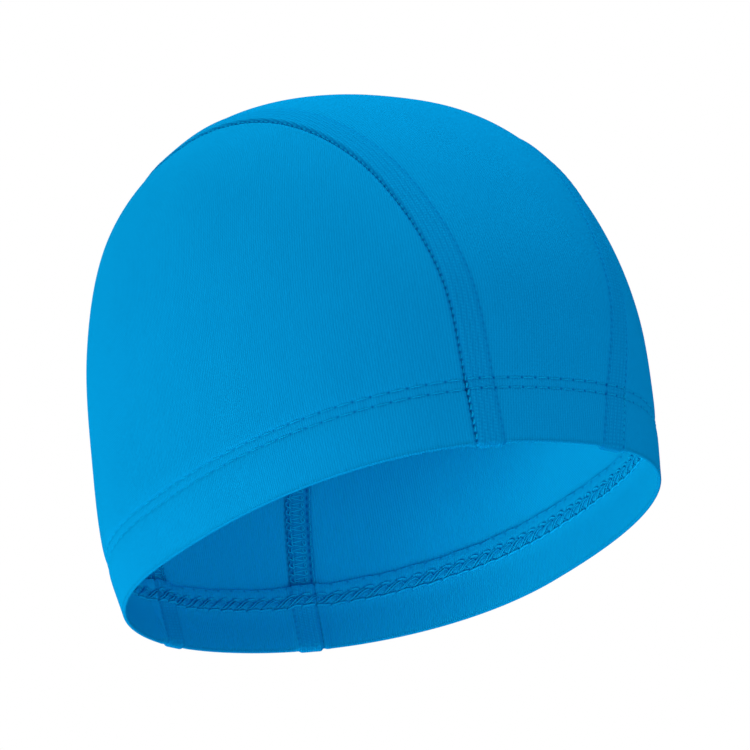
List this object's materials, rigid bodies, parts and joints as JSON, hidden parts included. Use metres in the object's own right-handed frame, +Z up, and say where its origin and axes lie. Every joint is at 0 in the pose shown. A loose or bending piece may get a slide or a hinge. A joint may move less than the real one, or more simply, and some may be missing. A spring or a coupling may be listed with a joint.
{
  "type": "swim cap",
  "caption": "Stretch knit swim cap with a crown panel, side panels, overlocked seams and a turned-up hem, in the form it has on a head.",
  "frame": {"origin": "centre of the head opening, in the plane of the rim, where the cap sits on a head", "axes": "+Z up to the crown, -Y to the brow, +Y to the nape, -X to the wearer's right"},
  "size_m": [0.1484, 0.205, 0.1465],
  "materials": {
    "knit_cloth": "matt warp knit of polyester and elastane, with fine upright ribs and a slight sheen",
    "overlocked_edge": "cut knit edges, covered with overlock loops of blue thread"
  },
  "bodies": {
    "root": {"crown_panel": "knit_cloth", "side_panel_right": "knit_cloth", "side_panel_left": "knit_cloth", "seam_allowance_right": "overlocked_edge", "seam_allowance_left": "overlocked_edge"}
  },
  "joints": []
}
